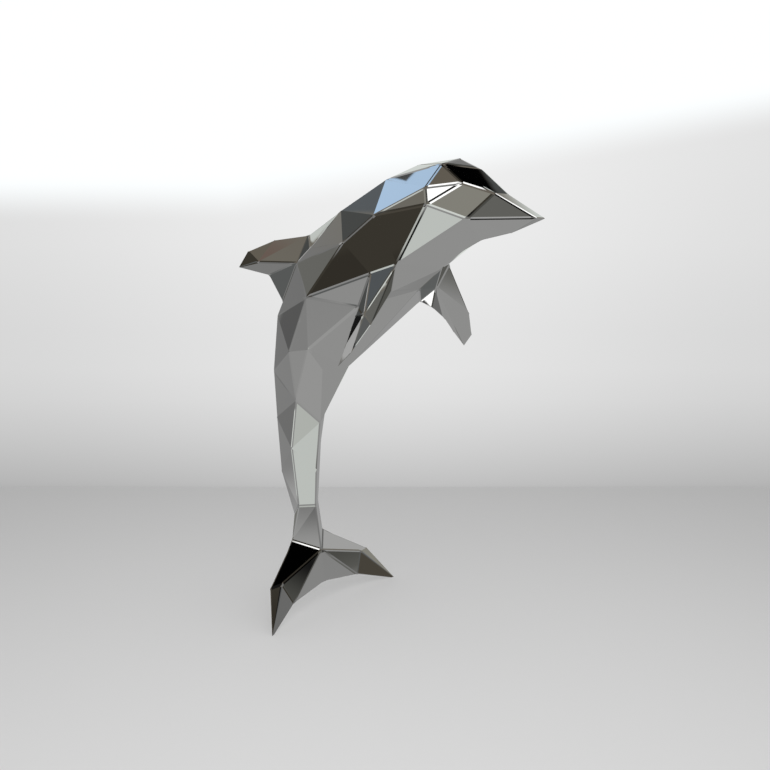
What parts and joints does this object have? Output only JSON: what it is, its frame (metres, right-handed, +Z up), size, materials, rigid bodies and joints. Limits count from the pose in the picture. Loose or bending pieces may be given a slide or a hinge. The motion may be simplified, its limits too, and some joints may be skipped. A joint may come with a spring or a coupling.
{
  "type": "faceted dolphin sculpture",
  "caption": "Life-size leaping dolphin folded and welded from flat plates of mirror-polished stainless steel, set on the ground by its fluke tips.",
  "frame": {"origin": "on the ground, midway between the two small flats at the fluke tips by which the sculpture is fixed down", "axes": "+X the way the beak points, +Y the dolphin's left, +Z up; the XZ plane is the middle plane"},
  "size_m": [1.71, 0.8046, 2],
  "materials": {
    "mirror_polished_steel": "mirror-polished stainless steel sheet with a faint ripple and fine polishing haze"
  },
  "bodies": {
    "root": {"dolphin": "mirror_polished_steel"}
  },
  "joints": []
}
